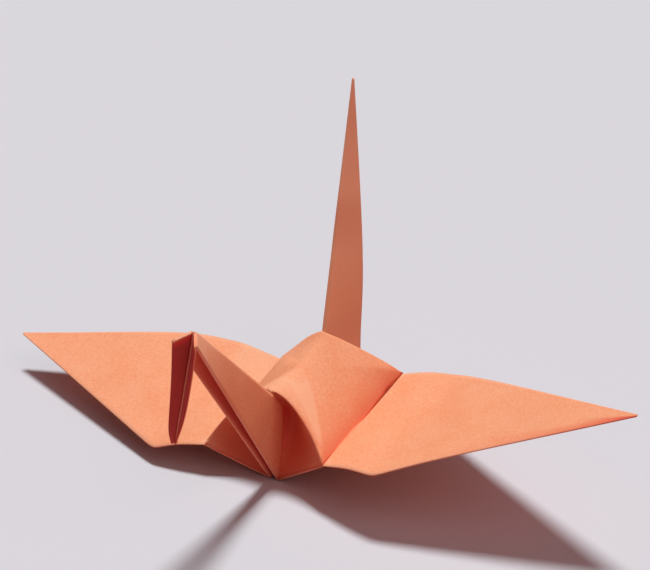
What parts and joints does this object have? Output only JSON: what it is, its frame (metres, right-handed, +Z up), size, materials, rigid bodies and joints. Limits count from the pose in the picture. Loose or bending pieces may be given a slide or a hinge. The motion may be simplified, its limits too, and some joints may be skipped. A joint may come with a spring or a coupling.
{
  "type": "origami crane",
  "caption": "Folded paper crane with spread wings, raised tail, bent neck and beak, and a puffed body that stands on its lower corners.",
  "frame": {"origin": "on the ground under the middle of the crane's overall size", "axes": "+Z up, -Y the way the head points, +X toward the raised wing"},
  "size_m": [0.1484, 0.0814, 0.072],
  "materials": {
    "sheet": "matte"
  },
  "bodies": {
    "root": {"paper_crane": "sheet"}
  },
  "joints": []
}
